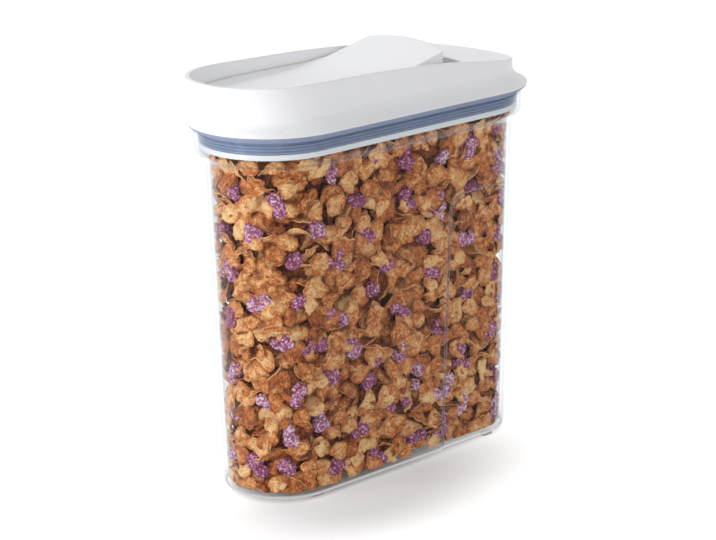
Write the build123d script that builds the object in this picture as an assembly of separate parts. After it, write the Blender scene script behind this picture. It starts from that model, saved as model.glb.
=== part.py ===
from build123d import *
import math
import os

# Cereal container with a flip spout, in millimetres.
# +Z is up, the long axis lies along X with the spout at -X, and the width lies along Y.
# The origin is on the standing surface, under the centre of the container.

# Plan: every level is a stadium whose two end arcs share these centres
END_X = 62.75  # distance of each end arc's centre from the middle

# Container body, clear moulded plastic
RIM_Z = 202.5  # the body's top edge, from which every height above the base follows
FOOT_H = 1.4
FOOT_L = 8.0
FOOT_W = 3.6
FOOT_AHEAD = 63.0  # front feet, ahead of the middle
FOOT_BEHIND = 67.0  # rear feet, behind the middle
FOOT_INSET = 5.0  # from the base's edge to the foot's middle
BASE_R = 33.6  # end radius at the base
BODY_TOP_R = 37.6  # end radius under the shoulder
BODY_TOP_Z = RIM_Z - 18.5
BASE_ROUND = 3.2
MOUTH_R = 43.3
MOUTH_Z = RIM_Z - 8.7  # where the shoulder meets the mouth collar
RIM_ROUND = 0.9
WALL = 2.6
FLOOR_T = 2.4
INNER_ROUND = 2.6

# Grip recess on both long sides, towards the rear
GRIP_DEPTH = 2.0
GRIP_FOOT_X = 27.8  # front edge at the base
GRIP_LEAN = 0.030  # the front edge leans back this much for each unit of height
GRIP_TOP_Z = RIM_Z - 50.4
GRIP_CORNER_R = 12.0

# Lid wall: skirt all round, upright wall, and a flare round the spout's front
LIP_R = 46.35
LIP_Z = RIM_Z + 3.6  # the lip's lower edge, from which the lid's heights follow
BEAD_R = 0.35  # rounded edge of the skirt
# (end radius, height) of the skirt's concave flare
SKIRT_LINE = [
    (LIP_R - 2.05, LIP_Z + 1.6),
    (LIP_R - 4.25, LIP_Z + 2.9),
    (LIP_R - 5.95, LIP_Z + 4.2),
    (LIP_R - 7.05, LIP_Z + 5.5),
    (LIP_R - 7.95, LIP_Z + 7.4),
]
SKIRT_TOP_Z = LIP_Z + 9.9  # the skirt's curve has run into the upright wall here
# (height, end radius) of the spout's front, at even steps; the first lies below the lip
FRONT_LINE = [
    (LIP_Z - 3.3, LIP_R + 2.05),
    (LIP_Z + 0.3, LIP_R - 0.4),
    (LIP_Z + 3.9, LIP_R - 2.95),
    (LIP_Z + 7.5, LIP_R - 5.5),
    (LIP_Z + 11.1, LIP_R - 4.95),
    (LIP_Z + 14.7, LIP_R - 3.75),
    (LIP_Z + 18.3, LIP_R - 2.2),
    (LIP_Z + 21.9, LIP_R - 0.4),
    (LIP_Z + 25.5, LIP_R + 1.05),
    (LIP_Z + 29.1, LIP_R + 2.25),
]
# (angle from straight ahead, share of the flare at the skirt, share at the rim)
FLARE_SHARES = [(0, 1.0, 1.0), (22, 1.0, 0.97), (44, 0.95, 0.72), (62, 0.55, 0.42), (78, 0.16, 0.15)]
SHARE_LOW_Z = LIP_Z + 8.0
SHARE_HIGH_Z = LIP_Z + 24.0
FLARE_START = 30.0  # distance ahead of the middle where the flare begins
FLARE_SINK = 0.15  # depth of the flare's run-out inside the upright wall
LID_WALL = 2.4
SIDE_HALF = LIP_R - 8.35  # half-width of the upright wall
# Top line of the wall: straight over the spout, then an arc that falls to the rear
CROWN_AHEAD = 35.0  # where the arc begins, ahead of the middle
CROWN_Z = LIP_Z + 24.6
CROWN_SLOPE = 0.021
CROWN_REAR_R = 918.0
OVER_Z = LIP_Z + 29.0  # clear above the wall

# Spout floor, pour neck, hinge well and rear deck
FLOOR_TOP_Z = LIP_Z + 9.1
FLOOR_T_LID = 2.4
POUR_R = 28.0
POUR_AHEAD = 61.0  # centre of the pour opening's front arc, ahead of the middle
POUR_REAR = 30.0  # centre of its rear arc, ahead of the middle
NECK_T = 2.0
NECK_Z = LIP_Z - 4.9
WELL_FRONT_X = 8.0
WELL_FLOOR_Z = FLOOR_TOP_Z - 7.6
WELL_T = 2.2
TAIL_GAP = 9.5  # from the flap's tail to the deck's edge

# Lid base: flange under the skirt, plug wall with gasket groove, retaining ring
FLANGE_R = 41.2
FLANGE_T = 1.4
SKIRT_LAND = 2.6  # width of the skirt's underside that rests on the flange
LAND_T = 1.0
PLUG_R = 38.2
PLUG_T = 2.2
PLATE_Z = LIP_Z - 4.1
PLATE_T = 1.8
NECK_FIT = 0.15  # gap round the pour neck
RING_Z = LIP_Z - 13.0
RING_H = 3.0
RING_GAP = 0.5  # from the retaining ring to the mouth wall

# Ribbed gasket in that groove, with a bead over the container's rim
SEAL_GAP = 0.3
RIB_COUNT = 4
RIB_DEPTH = 0.8
BEAD_OUT_R = 43.0
BEAD_REST = 0.3  # from the bead to the container's rim
BEAD_TOP_Z = LIP_Z - 0.2
BEAD_EDGE = 0.5
FIN_INSET = 0.45  # the gasket's thin fin ends this far inside the lip's edge
FIN_T = 0.7
SEAT_GAP = 0.05  # between a gasket and the groove that holds it

# Hinge
HINGE_X = 27.0
HINGE_Z = FLOOR_TOP_Z + 6.8
PIN_R = 1.5
PIN_END_Y = 36.6
PIN_END_GAP = 0.1
PIN_CHAMFER = 0.3
PIN_SEAT_FIT = 0.02
PIN_RUN_FIT = 0.06
BOSS_R = 4.4
BOSS_GAP = 0.5  # from the lid's boss to the flap's side
BOSS_SINK = 0.6  # and into the lid's wall
KNUCKLE_R = 4.0
KNUCKLE_L = 6.0

# Flap cover: low scooped plate at the front, thumb hump at the tail
FLAP_GAP = 0.65  # to the lid's inner wall
FLAP_T = 2.2
FLAP_SKIRT_Z = FLOOR_TOP_Z + 2.0
FLAP_OVER_Z = FLOOR_TOP_Z + 24.0  # clear above the hump
FLAP_UNDER_Z = FLOOR_TOP_Z - 10.0  # clear below the flap
PLATE_OVER_Z = FLOOR_TOP_Z + 10.8  # clear above the plate
HUMP_HALF_W = 31.0
HUMP_AHEAD = 30.0  # front of the hump's straight sides, ahead of the middle
NARROW_X = 14.0  # the plate narrows to the hump's width from here
NARROW_L = 7.0
TAIL_X = 37.3  # rear end of the hump on the centre line
TAIL_PLAN_R = 101.8
TAIL_CORNER_R = 3.0
TAIL_CORNER_LEAST = 0.8  # inside the hollow hump
# The scooped ramp: a gentle slope from the front that bends up to a steeper one under the thumb
RAMP_AHEAD = 112.0  # start of the ramp, ahead of the middle
RAMP_BEHIND = 44.0  # end of the ramp, behind the middle
RAMP_START_Z = FLOOR_TOP_Z + 4.7
RAMP_SLOPE = 0.0205
RAMP_KNEE_AHEAD = 10.0
RAMP_KNEE_L = 9.0
RAMP_RISE = 0.228  # slope added past the knee
RAMP_CROWN = 1.1  # extra height on the centre line, past the knee
RAMP_CROWN_LEAST = 0.03  # and ahead of it
RAMP_COUNT = 13
RAMP_HALF_W = 42.0
# (x, height) of the flap's flat edge beside the scoop
EDGE_LINE = [
    (-RAMP_AHEAD, FLOOR_TOP_Z + 7.1),
    (-60.0, FLOOR_TOP_Z + 8.0),
    (-20.0, FLOOR_TOP_Z + 8.7),
    (10.0, FLOOR_TOP_Z + 9.3),
    (RAMP_BEHIND, FLOOR_TOP_Z + 9.8),
]
SCOOP_LAND = 0.6
SCOOP_SLOPE = 1.75  # the scoop's edge runs inwards this much for each unit of depth
SCOOP_LOW_Z = FLOOR_TOP_Z + 3.8
SCOOP_HIGH_Z = FLOOR_TOP_Z + 11.3
RIB_T = 1.6
RIB_XS = [-82.0, -52.0, -22.0, 8.0]

# Flap liner with its plug, and the plug's gasket
LINER_Z = FLOOR_TOP_Z + 0.6
LINER_T = 1.7
LINER_FIT = 0.3
SKIRT_T = 2.0
LINER_REAR_X = 12.0
PLUG_GAP = 1.2  # from the plug's wall to the pour opening
FLAP_PLUG_T = 1.8
FLAP_PLUG_Z = LINER_Z - 6.2
FLAP_SEAL_GAP = 0.5
FLAP_SEAL_DEPTH = 1.5
FLAP_SEAL_Z = LINER_Z - 3.2
FLAP_SEAL_H = 2.6
FLAP_SEAL_TAPER = 0.7
FLAP_SEAL_FLAT = 1.0  # width of its flat outer face

BIG = 300.0  # reach of a cutter that passes through everything
OVERRUN = 1.0  # a cutter passes the face that it opens by this
SINK = 0.5  # a joined feature starts this deep inside what carries it


def stadium(radius, z, front=-END_X, rear=END_X):
    """Face at height z: two end arcs about front and rear, joined by straight sides."""
    length = rear - front + 2 * radius
    return Pos((front + rear) / 2, 0, z) * SlotOverall(length, 2 * radius).face()


def prism(radius, low, high, front=-END_X, rear=END_X):
    """Upright solid of a stadium between two heights."""
    return extrude(stadium(radius, low, front, rear), high - low, dir=(0, 0, 1))


def block(x_low, x_high, y_half, z_low, z_high):
    """Box between two X and two Z planes, symmetric in Y."""
    middle = Pos((x_low + x_high) / 2, 0, (z_low + z_high) / 2)
    return middle * Box(x_high - x_low, 2 * y_half, z_high - z_low)


def swept(outline, front=-END_X, rear=END_X):
    """Solid of a half profile, drawn as (radius, z) edges, carried round a stadium plan."""
    flank = make_face(Plane.YZ * Wire(outline))
    arc = revolve(flank, Axis.Z, 180)
    straight = Pos(front, 0, 0) * extrude(flank, rear - front, dir=(1, 0, 0))
    ends = Pos(front, 0, 0) * arc + Pos(rear, 0, 0) * Rot(0, 0, 180) * arc
    return ends + straight + mirror(straight, Plane.XZ)


def ring(outer_r, inner_r, low, high, front=-END_X, rear=END_X):
    """Upright stadium tube between two heights."""
    return prism(outer_r, low, high, front, rear) - prism(inner_r, low - OVERRUN, high + OVERRUN, front, rear)


def s_curve(low, high):
    """Two tangent arcs, upright at both ends, from one (radius, z) point up to another."""
    run, rise = high[0] - low[0], high[1] - low[1]
    half_turn = math.atan2(run, rise)
    radius = rise / (2 * math.sin(2 * half_turn))
    middle = ((low[0] + high[0]) / 2, (low[1] + high[1]) / 2)
    bulge = radius * (1 - math.cos(half_turn))
    reach = radius * math.sin(half_turn)
    return [
        ThreePointArc(low, (low[0] + bulge, low[1] + reach), middle).edge(),
        ThreePointArc(middle, (high[0] - bulge, high[1] - reach), high).edge(),
    ]


def body_radius(z):
    """End radius of the tapering body at a height."""
    share = (z - FOOT_H) / (BODY_TOP_Z - FOOT_H)
    return BASE_R + (BODY_TOP_R - BASE_R) * share


def bin_outline(thickness):
    """Half profile of the body at a depth below its outer surface."""
    base_z = FOOT_H + (FLOOR_T if thickness else 0)
    top_z = RIM_Z + (OVERRUN if thickness else 0)
    base_r = BASE_R - thickness
    rounding = INNER_ROUND if thickness else BASE_ROUND
    start = (base_r - rounding, base_z)
    middle = (start[0] + rounding * math.sin(math.pi / 4), base_z + rounding * (1 - math.cos(math.pi / 4)))
    wall_foot = (base_r, base_z + rounding)
    wall_top = (BODY_TOP_R - thickness, BODY_TOP_Z)
    collar = (MOUTH_R - thickness, MOUTH_Z)
    edges = [Line((0, base_z), start).edge(), ThreePointArc(start, middle, wall_foot).edge()]
    edges.append(Line(wall_foot, wall_top).edge())
    edges += s_curve(wall_top, collar)
    edges += Polyline(collar, (collar[0], top_z), (0, top_z), (0, base_z)).edges()
    return edges


def tapered_slab(inset):
    """Solid between the body's long sides, set in from them by inset, open in X and Z."""
    low, high = -OVERRUN, RIM_Z
    corners = [(-body_radius(low) + inset, low), (body_radius(low) - inset, low)]
    corners += [(body_radius(high) - inset, high), (-body_radius(high) + inset, high)]
    face = make_face(Plane.YZ * Polyline(*corners, close=True))
    return Pos(-BIG / 2, 0, 0) * extrude(face, BIG, dir=(1, 0, 0))


def grip_prism(grow):
    """Side outline of the grip recess, grown forwards and upwards, right through in Y."""
    low, top = -OVERRUN, GRIP_TOP_Z + grow
    foot = GRIP_FOOT_X - grow
    corners = [(foot + GRIP_LEAN * low, low), (foot + GRIP_LEAN * top, top), (BIG, top), (BIG, low)]
    face = make_face(Plane.XZ * Polyline(*corners, close=True))
    front_top = face.vertices().sort_by(Axis.Z)[-2:].sort_by(Axis.X)[0]
    face = fillet(front_top, GRIP_CORNER_R + grow)
    return extrude(face, BIG, both=True)


def container_body():
    """Clear bin with mouth collar, shoulder, grip recesses and four feet."""
    shell = swept(bin_outline(0)) - (grip_prism(0) - tapered_slab(GRIP_DEPTH))
    cavity = swept(bin_outline(WALL)) - (grip_prism(WALL * 0.6) - tapered_slab(GRIP_DEPTH + WALL))
    body = shell - cavity
    body = fillet([e for e in body.edges() if abs(e.center().Z - RIM_Z) < 0.01], RIM_ROUND)
    reach = (FOOT_L - FOOT_W) / 2
    for x in (-FOOT_AHEAD, FOOT_BEHIND):
        for y in (-BASE_R + FOOT_INSET, BASE_R - FOOT_INSET):
            body += Pos(0, y, 0) * prism(FOOT_W / 2, 0, FOOT_H + SINK, x - reach, x + reach)
    return body


def front_radius(z):
    """End radius of the spout's front at a height."""
    for (low, start), (high, end) in zip(FRONT_LINE, FRONT_LINE[1:]):
        if z <= high:
            return start + (end - start) * (z - low) / (high - low)
    return FRONT_LINE[-1][1]


def nose(z, half, inset):
    """Spline round the front at a height, from one side plane to the other, set in by inset."""
    stand_out = front_radius(z) - inset - half
    blend = min(max((z - SHARE_LOW_Z) / (SHARE_HIGH_Z - SHARE_LOW_Z), 0), 1)
    points = []
    for angle, low_share, high_share in FLARE_SHARES:
        share = low_share + (high_share - low_share) * blend
        radius, turn = half + stand_out * share, math.radians(angle)
        points.append((-END_X - radius * math.cos(turn), radius * math.sin(turn)))
    points = [(x, -y) for x, y in reversed(points)] + points[1:]
    near, far = (-FLARE_START, -half), (-FLARE_START, half)
    return Spline(near, *points, far, tangents=[(-1, 0), (1, 0)]).edge()


def nose_face(z, half, inset):
    """Face inside that spline, closed by a straight line across the lid."""
    closing = Line((-FLARE_START, half), (-FLARE_START, -half)).edge()
    return Pos(0, 0, z) * make_face(Wire([nose(z, half, inset), closing]))


def side_bay(levels, rear):
    """Solid between the lid's side walls, from the flare's start to a rear plane."""
    right = [(SIDE_HALF - inset, z) for z, inset in levels]
    left = [(-y, z) for y, z in reversed(right)]
    face = make_face(Plane.YZ * Polyline(*right, *left, close=True))
    return Pos(-FLARE_START, 0, 0) * extrude(face, rear + FLARE_START, dir=(1, 0, 0))


def bay(low, high, inset, rear, top_inset=None):
    """Solid that follows the lid's inside from low to high, set in by inset, back to rear."""
    last = inset if top_inset is None else top_inset
    heights = [low] + [z for z, _ in FRONT_LINE if low + 0.8 < z < high - 0.8] + [high]
    levels = [(z, inset + (last - inset) * (z - low) / (high - low)) for z in heights]
    front = loft([nose_face(z, SIDE_HALF - depth, depth) for z, depth in levels])
    return front + side_bay([levels[0], levels[-1]], rear)


def skirt_outline():
    """Half profile of the rounded lip, the skirt's concave flare and the upright wall."""
    bead_r, bead_z = LIP_R - BEAD_R, LIP_Z + BEAD_R
    turn = math.radians(60)
    leave = (bead_r + BEAD_R * math.cos(turn), bead_z + BEAD_R * math.sin(turn))
    top = (SIDE_HALF, SKIRT_TOP_Z)
    high = FRONT_LINE[-1][0]
    flare = Spline(leave, *SKIRT_LINE, top, tangents=[(-math.sin(turn), math.cos(turn)), (0, 1)])
    edges = [Line((0, LIP_Z), (bead_r, LIP_Z)).edge()]
    edges.append(ThreePointArc((bead_r, LIP_Z), (LIP_R, bead_z), leave).edge())
    edges.append(flare.edge())
    edges += Polyline(top, (SIDE_HALF, high), (0, high), (0, LIP_Z)).edges()
    return edges


def crown_height(x):
    """Height of the lid's top line along X."""
    run = x + CROWN_AHEAD
    return CROWN_Z - CROWN_SLOPE * run - max(run, 0) ** 2 / (2 * CROWN_REAR_R)


def under_crown(drop):
    """Everything between the lip and the lid's top line, lowered by drop."""
    front, rear = -BIG / 2, BIG / 2
    arc = [(x, crown_height(x) - drop) for x in (-CROWN_AHEAD, (rear - CROWN_AHEAD) / 2, rear)]
    start = (front, crown_height(front) - drop)
    edges = [Line(start, arc[0]).edge(), ThreePointArc(*arc).edge()]
    edges += Polyline(arc[-1], (rear, NECK_Z), (front, NECK_Z), start).edges()
    return extrude(make_face(Plane.XZ * Wire(edges)), BIG / 2, both=True)


def well_prism(grow, low, high):
    """Upright prism of the hinge well: straight front, rear curved like the flap's tail."""
    curve = Pos(TAIL_X - TAIL_PLAN_R, 0, (low + high) / 2) * Cylinder(TAIL_PLAN_R + TAIL_GAP + grow, high - low)
    return curve & block(WELL_FRONT_X - grow, BIG / 2, BIG / 2, low, high)


def cross_pin(radius, y_low, y_high):
    """Cylinders on the hinge axis, one on each side, between two distances from the middle."""
    half = Pos(HINGE_X, (y_low + y_high) / 2, HINGE_Z) * Rot(90, 0, 0) * Cylinder(radius, y_high - y_low)
    return half + mirror(half, Plane.XZ)


def lid_shell():
    """White top: skirt, flared collar, spout floor with its neck, hinge well, deck and bosses."""
    inner_half = SIDE_HALF - LID_WALL
    flare = loft([nose_face(z, SIDE_HALF - FLARE_SINK, 0) for z, _ in FRONT_LINE])
    flare -= block(-BIG / 2, 0, BIG / 2, FRONT_LINE[0][0] - OVERRUN, LIP_Z + BEAD_R)
    shell = (swept(skirt_outline()) + flare) & under_crown(0)
    shell -= bay(FLOOR_TOP_Z, OVER_Z, LID_WALL, WELL_FRONT_X)
    well = well_prism(0, WELL_FLOOR_Z, OVER_Z) & block(0, BIG / 2, inner_half, WELL_FLOOR_Z, OVER_Z)
    shell -= well
    shell -= block(WELL_FRONT_X - OVERRUN, WELL_FRONT_X + OVERRUN, inner_half, FLOOR_TOP_Z, OVER_Z)

    land_r = FLANGE_R - SKIRT_LAND
    under, low_z = FLOOR_TOP_Z - FLOOR_T_LID, NECK_Z - OVERRUN
    corners = [(0, low_z), (land_r, low_z), (land_r, LIP_Z + LAND_T), (inner_half, under), (0, under)]
    pocket = swept(Polyline(*corners, close=True).edges())
    deck = prism(inner_half, LIP_Z, OVER_Z) & under_crown(LID_WALL)
    deck = deck & block(WELL_FRONT_X + OVERRUN, BIG / 2, BIG / 2, LIP_Z - OVERRUN, OVER_Z)
    neck_r = POUR_R + NECK_T
    keep = well_prism(WELL_T, low_z, OVER_Z) + prism(neck_r, low_z, under, -POUR_AHEAD, -POUR_REAR)
    shell -= (pocket + deck) - keep
    shell += ring(neck_r, POUR_R, NECK_Z, under + SINK, -POUR_AHEAD, -POUR_REAR)
    shell -= prism(POUR_R, NECK_Z - OVERRUN, FLOOR_TOP_Z + OVERRUN, -POUR_AHEAD, -POUR_REAR)

    shell += cross_pin(BOSS_R, HUMP_HALF_W + BOSS_GAP, inner_half + BOSS_SINK)
    shell -= cross_pin(PIN_R + PIN_SEAT_FIT, HUMP_HALF_W - OVERRUN, PIN_END_Y + PIN_END_GAP)
    return shell


def lid_base():
    """Inner half of the lid: plate with a hole for the neck, plug wall, flange and retaining ring."""
    inside = PLUG_R - PLUG_T
    ring_r = MOUTH_R - WALL - RING_GAP
    corners = [(0, PLATE_Z), (inside, PLATE_Z), (inside, RING_Z), (ring_r, RING_Z), (ring_r, RING_Z + RING_H)]
    corners += [(PLUG_R, RING_Z + RING_H), (PLUG_R, LIP_Z - FLANGE_T), (FLANGE_R, LIP_Z - FLANGE_T)]
    corners += [(FLANGE_R, LIP_Z), (inside, LIP_Z), (inside, PLATE_Z + PLATE_T), (0, PLATE_Z + PLATE_T)]
    base = swept(Polyline(*corners, close=True).edges())
    hole_r = POUR_R + NECK_T + NECK_FIT
    return base - prism(hole_r, PLATE_Z - OVERRUN, PLATE_Z + PLATE_T + OVERRUN, -POUR_AHEAD, -POUR_REAR)


def body_gasket():
    """Ribbed sealing ring in the lid base's groove, with a bead over the rim and a fin under the lip."""
    low, high = RING_Z + RING_H + SEAT_GAP, LIP_Z - FLANGE_T - SEAT_GAP
    inner_r, rib_r = PLUG_R + SEAT_GAP, MOUTH_R - WALL - SEAL_GAP
    core_r, rest_z = rib_r - RIB_DEPTH, RIM_Z + BEAD_REST
    fin_r = LIP_R - FIN_INSET
    pitch = (rest_z - low) / RIB_COUNT
    corners = [(inner_r, low)]
    for index in range(RIB_COUNT):
        start = low + index * pitch
        corners += [(core_r, start + 0.02), (rib_r, start + 0.35 * pitch), (rib_r, start + 0.65 * pitch)]
    corners += [(core_r, rest_z), (BEAD_OUT_R - BEAD_EDGE, rest_z), (BEAD_OUT_R, rest_z + BEAD_EDGE)]
    corners += [(BEAD_OUT_R, BEAD_TOP_Z - FIN_T), (fin_r, BEAD_TOP_Z - FIN_T), (fin_r, BEAD_TOP_Z)]
    corners.append((FLANGE_R + SEAT_GAP, BEAD_TOP_Z))
    corners += [(FLANGE_R + SEAT_GAP, high), (inner_r, high)]
    return swept(Polyline(*corners, close=True).edges())


def ramp_height(x):
    """Height of the flap's ramp beside the centre line, and its crown there."""
    bend = (x + RAMP_KNEE_AHEAD) / RAMP_KNEE_L
    rise = RAMP_RISE * RAMP_KNEE_L * math.log1p(math.exp(bend))
    crown = RAMP_CROWN / (1 + math.exp(-bend)) + RAMP_CROWN_LEAST
    return RAMP_START_Z + RAMP_SLOPE * (x + RAMP_AHEAD) + rise, crown


def below_ramp(drop):
    """Everything under the flap's scooped ramp, lowered by drop."""
    sections = []
    for index in range(RAMP_COUNT + 1):
        x = -RAMP_AHEAD + index * (RAMP_BEHIND + RAMP_AHEAD) / RAMP_COUNT
        height, crown = ramp_height(x)
        middle = height + crown - drop
        side = middle - crown * (RAMP_HALF_W / HUMP_HALF_W) ** 2
        top = ThreePointArc((-RAMP_HALF_W, side), (0, middle), (RAMP_HALF_W, side)).edge()
        low = [(RAMP_HALF_W, FLAP_UNDER_Z), (-RAMP_HALF_W, FLAP_UNDER_Z)]
        rest = Polyline((RAMP_HALF_W, side), *low, (-RAMP_HALF_W, side))
        sections.append(Pos(x, 0, 0) * make_face(Plane.YZ * Wire([top, *rest.edges()])))
    return loft(sections)


def below_edge(drop):
    """Everything under the height of the flap's flat edge, lowered by drop."""
    points = [(x, z - drop) for x, z in EDGE_LINE]
    rest = Polyline(points[-1], (points[-1][0], FLAP_UNDER_Z), (points[0][0], FLAP_UNDER_Z), points[0])
    return extrude(make_face(Plane.XZ * Wire([Spline(*points).edge(), *rest.edges()])), BIG / 2, both=True)


def hump_prism(inset, low, high):
    """Upright prism of the hump's plan, set in by inset, with a rounded tail."""
    half, radius = HUMP_HALF_W - inset, TAIL_PLAN_R - inset
    tail_x = TAIL_X - TAIL_PLAN_R + math.sqrt(radius ** 2 - half ** 2)
    corners = [(tail_x, half), (-HUMP_AHEAD, half), (-HUMP_AHEAD, -half), (tail_x, -half)]
    sides = Polyline(*corners).edges()
    tail = ThreePointArc((tail_x, -half), (TAIL_X - inset, 0), (tail_x, half)).edge()
    face = make_face(Wire([*sides, tail]))
    face = fillet(face.vertices().sort_by(Axis.X)[-2:], max(TAIL_CORNER_R - inset, TAIL_CORNER_LEAST))
    return extrude(Pos(0, 0, low) * face, high - low, dir=(0, 0, 1))


def plate_limit():
    """Plan limit of the flap's full-width plate, narrowing to the hump at the rear."""
    reach = 6.0
    lean = NARROW_L / (SIDE_HALF - LID_WALL - FLAP_GAP - HUMP_HALF_W)
    wide_y = HUMP_HALF_W + reach
    narrow = (NARROW_X + NARROW_L, HUMP_HALF_W)
    corners = [(-BIG / 2, wide_y), (narrow[0] - lean * reach, wide_y), narrow]
    corners += [(x, -y) for x, y in reversed(corners)]
    face = Pos(0, 0, FLAP_UNDER_Z) * make_face(Polyline(*corners, close=True))
    return extrude(face, FLAP_OVER_Z - FLAP_UNDER_Z, dir=(0, 0, 1))


def flap_cover():
    """Flap top: scooped plate with a skirt, thumb hump with a hollow inside, and two knuckles."""
    edge_inset = LID_WALL + FLAP_GAP
    rear = NARROW_X + NARROW_L
    ramp = below_ramp(0)
    plate = (bay(FLAP_SKIRT_Z, PLATE_OVER_Z, edge_inset, rear) & below_edge(0)) & plate_limit()
    land = edge_inset + SCOOP_LAND
    low_inset = land + SCOOP_SLOPE * (EDGE_LINE[1][1] - SCOOP_LOW_Z)
    high_inset = land + SCOOP_SLOPE * (EDGE_LINE[1][1] - SCOOP_HIGH_Z)
    scoop = bay(SCOOP_LOW_Z, SCOOP_HIGH_Z, low_inset, rear + OVERRUN, high_inset) - ramp
    cover = (plate - scoop) + (hump_prism(0, FLAP_SKIRT_Z, FLAP_OVER_Z) & ramp)

    ceiling = below_ramp(FLAP_T)
    low_z = FLAP_SKIRT_Z - OVERRUN
    hollow = bay(low_z, PLATE_OVER_Z, edge_inset + SKIRT_T, rear - 3) & below_edge(FLAP_T) & plate_limit()
    front_hollow = hollow & ceiling
    tail_hollow = hump_prism(FLAP_T, low_z, FLAP_OVER_Z) & ceiling
    rest_z = LINER_Z + LINER_T
    for x in RIB_XS:
        front_hollow -= block(x - RIB_T / 2, x + RIB_T / 2, BIG / 2, rest_z, FLAP_OVER_Z)
        tail_hollow -= block(x - RIB_T / 2, x + RIB_T / 2, BIG / 2, rest_z, FLAP_OVER_Z)
    cover -= front_hollow
    cover -= tail_hollow & block(-HUMP_AHEAD, BIG / 2, BIG / 2, low_z - OVERRUN, FLAP_OVER_Z)

    web = block(HINGE_X - KNUCKLE_R, HINGE_X + KNUCKLE_R, HUMP_HALF_W, HINGE_Z, FLAP_OVER_Z)
    web -= block(0, BIG / 2, HUMP_HALF_W - KNUCKLE_L, HINGE_Z - OVERRUN, FLAP_OVER_Z + OVERRUN)
    cover += (web & below_ramp(SINK)) + cross_pin(KNUCKLE_R, HUMP_HALF_W - KNUCKLE_L, HUMP_HALF_W)
    cover -= cross_pin(PIN_R + PIN_RUN_FIT, -OVERRUN, HUMP_HALF_W + OVERRUN)
    return cover


def flap_liner():
    """Underside of the flap: flat plate and a hollow plug with a gasket groove."""
    inset = LID_WALL + FLAP_GAP + SKIRT_T + LINER_FIT
    liner = bay(LINER_Z, LINER_Z + LINER_T, inset, LINER_REAR_X)
    plug_r = POUR_R - PLUG_GAP
    groove_r = POUR_R - FLAP_SEAL_GAP - FLAP_SEAL_DEPTH
    ends = (-POUR_AHEAD, -POUR_REAR)
    liner += ring(plug_r, plug_r - FLAP_PLUG_T, FLAP_PLUG_Z, LINER_Z + SINK, *ends)
    liner -= ring(plug_r + OVERRUN, groove_r, FLAP_SEAL_Z, FLAP_SEAL_Z + FLAP_SEAL_H, *ends)
    return liner


def flap_gasket():
    """Sealing ring in the plug's groove."""
    outer_r = POUR_R - FLAP_SEAL_GAP
    inner_r = outer_r - FLAP_SEAL_DEPTH + SEAT_GAP
    low, high = FLAP_SEAL_Z + SEAT_GAP, FLAP_SEAL_Z + FLAP_SEAL_H - SEAT_GAP
    middle, waist_r = (low + high) / 2, outer_r - FLAP_SEAL_TAPER
    reach = FLAP_SEAL_FLAT / 2
    corners = [(inner_r, low), (waist_r, low), (outer_r, middle - reach), (outer_r, middle + reach)]
    corners += [(waist_r, high), (inner_r, high)]
    return swept(Polyline(*corners, close=True).edges(), -POUR_AHEAD, -POUR_REAR)


def hinge_pin():
    """Straight pin between the lid's two bosses."""
    pin = Pos(HINGE_X, 0, HINGE_Z) * Rot(90, 0, 0) * Cylinder(PIN_R, 2 * PIN_END_Y)
    return chamfer(pin.edges(), PIN_CHAMFER)


NODES = [
    container_body,
    lid_shell,
    lid_base,
    body_gasket,
    flap_cover,
    flap_liner,
    flap_gasket,
    hinge_pin,
]

os.makedirs("parts", exist_ok=True)
for node in NODES:
    export_step(node(), f"parts/{node.__name__}.step")
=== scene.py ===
"""Render look of a cereal container with a flip spout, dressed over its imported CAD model."""

from __future__ import annotations

import logging
import math
from dataclasses import dataclass, field
from enum import Enum
from typing import Any

import bmesh
import bpy
import numpy as np
from mathutils import Matrix, Vector


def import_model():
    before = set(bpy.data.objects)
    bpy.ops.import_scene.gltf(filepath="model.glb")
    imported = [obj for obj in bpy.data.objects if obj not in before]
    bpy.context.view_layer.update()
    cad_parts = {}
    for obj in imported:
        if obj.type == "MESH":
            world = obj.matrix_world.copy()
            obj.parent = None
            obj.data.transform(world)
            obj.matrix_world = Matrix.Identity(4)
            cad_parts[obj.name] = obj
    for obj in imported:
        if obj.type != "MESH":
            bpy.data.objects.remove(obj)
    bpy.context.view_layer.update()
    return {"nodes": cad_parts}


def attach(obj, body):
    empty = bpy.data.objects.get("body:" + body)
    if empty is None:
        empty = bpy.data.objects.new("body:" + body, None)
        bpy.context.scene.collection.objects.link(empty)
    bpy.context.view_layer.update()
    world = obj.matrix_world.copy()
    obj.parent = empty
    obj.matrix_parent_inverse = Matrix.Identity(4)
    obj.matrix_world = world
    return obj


LOG = logging.getLogger("cereal_container")
MM = 0.001


def linear(hex_colour: str, alpha: float = 1.0) -> tuple[float, float, float, float]:
    """Turn an sRGB hex colour into linear RGBA.

    Args:
        hex_colour: Six hex digits, with or without a leading hash.
        alpha: Alpha channel of the result.

    Returns:
        The colour as four linear numbers.
    """
    digits = hex_colour.lstrip("#")
    channels = [int(digits[i : i + 2], 16) / 255 for i in (0, 2, 4)]
    red, green, blue = (c / 12.92 if c <= 0.04045 else ((c + 0.055) / 1.055) ** 2.4 for c in channels)
    return red, green, blue, alpha


def add_node(tree: bpy.types.NodeTree, kind: str, links: dict[Any, Any] | None = None, **settings: Any) -> bpy.types.Node:
    """Add one shader node with its settings and links.

    Args:
        tree: Node tree that takes the node.
        kind: Blender's type name of the node.
        links: Input name or index to a fixed value, or to the output socket that feeds it.
        **settings: Attributes set on the node itself.

    Returns:
        The new node.
    """
    node = tree.nodes.new(kind)
    for name, value in settings.items():
        setattr(node, name, value)
    for key, value in (links or {}).items():
        if isinstance(value, bpy.types.NodeSocket):
            tree.links.new(value, node.inputs[key])
        else:
            node.inputs[key].default_value = value
    return node


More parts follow.
